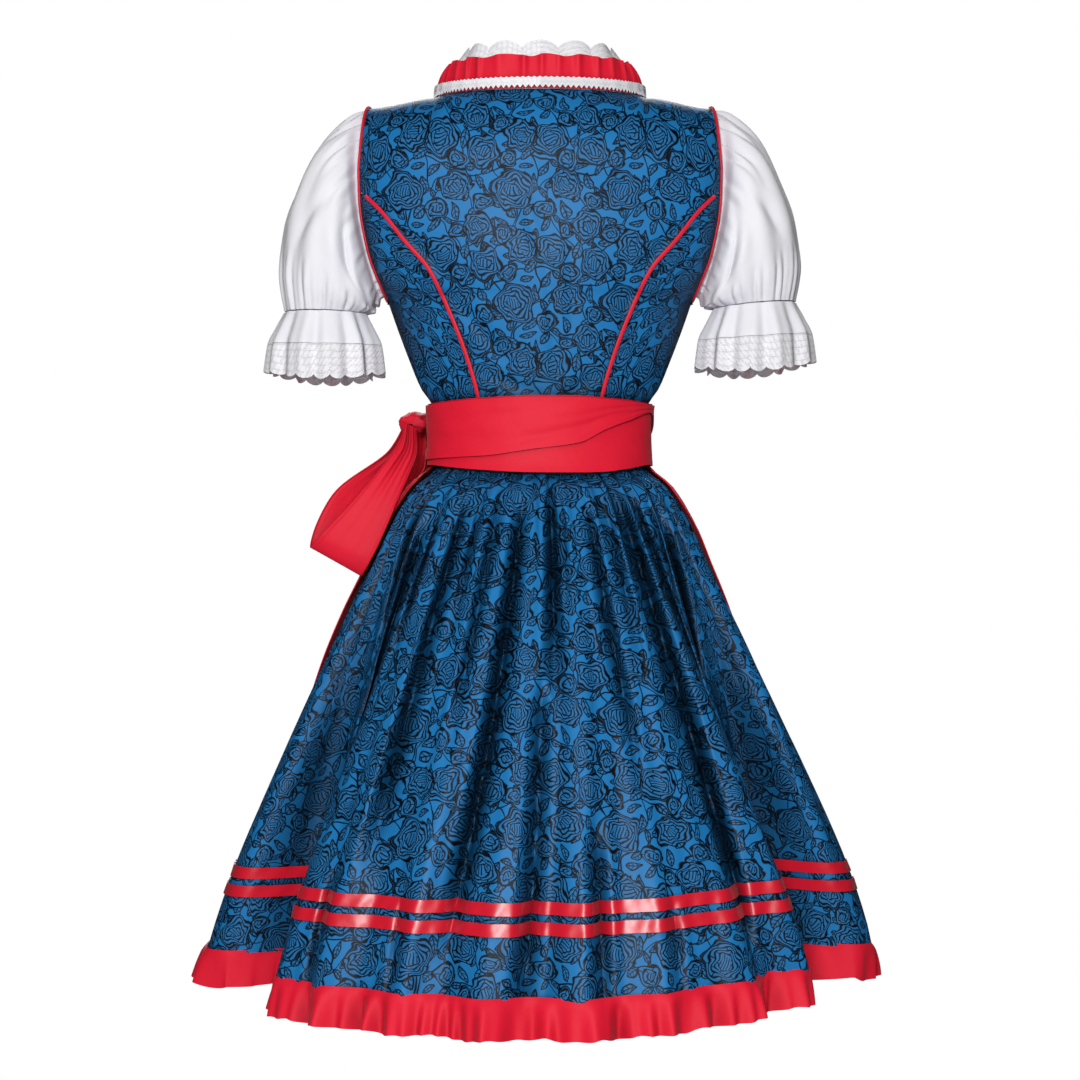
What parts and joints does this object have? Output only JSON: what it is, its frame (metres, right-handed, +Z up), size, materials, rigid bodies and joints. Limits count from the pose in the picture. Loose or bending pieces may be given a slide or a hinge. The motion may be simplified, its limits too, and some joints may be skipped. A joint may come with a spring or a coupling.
{
  "type": "dirndl",
  "caption": "Worn-form dirndl: fitted printed bodice over a puff-sleeved blouse, full gathered skirt with ribbons and hem ruffle, red apron tied in a bow.",
  "frame": {"origin": "midway between the shoulders, at the height of the shoulder points, where the wearer carries the dress", "axes": "+Z up, the wearer faces -Y, +X towards the wearer's left"},
  "size_m": [0.7536, 0.6202, 1.0321],
  "materials": {
    "printed_blue_cloth": "smooth blue cloth with a soft sheen, printed all over with dark line-drawn roses and leaves",
    "red_cloth": "plain bright red woven cloth with a soft sheen",
    "red_satin_ribbon": "glossy red satin ribbon",
    "white_blouse_cloth": "matt white cotton",
    "white_lace": "fine white embroidered lace with a scalloped edge"
  },
  "bodies": {
    "root": {"bodice_back": "printed_blue_cloth", "bodice_side_back_left": "printed_blue_cloth", "bodice_side_back_right": "printed_blue_cloth", "bodice_front_left": "printed_blue_cloth", "bodice_front_right": "printed_blue_cloth", "bodice_side_front_left": "printed_blue_cloth", "bodice_side_front_right": "printed_blue_cloth", "front_placket": "printed_blue_cloth", "skirt_back": "printed_blue_cloth", "skirt_front": "printed_blue_cloth", "piping_back_left": "red_cloth", "piping_back_right": "red_cloth", "piping_front_left": "red_cloth", "piping_front_right": "red_cloth", "armhole_binding_left": "red_cloth", "armhole_binding_right": "red_cloth", "neck_ruffle": "red_cloth", "hem_ruffle": "red_cloth", "apron_panel": "red_cloth", "apron_band": "red_cloth", "tie_over": "red_cloth", "bow_knot": "red_cloth", "bow_loop_outer": "red_cloth", "bow_loop_front": "red_cloth", "bow_tail_long": "red_cloth", "bow_tail_short": "red_cloth", "ribbon_upper": "red_satin_ribbon", "ribbon_lower": "red_satin_ribbon", "blouse_back": "white_blouse_cloth", "blouse_front": "white_blouse_cloth", "sleeve_left": "white_blouse_cloth", "sleeve_right": "white_blouse_cloth", "cuff_flounce_left": "white_blouse_cloth", "cuff_flounce_right": "white_blouse_cloth", "neck_trim": "white_lace", "neck_lace": "white_lace", "cuff_lace_left": "white_lace", "cuff_lace_right": "white_lace"}
  },
  "joints": []
}
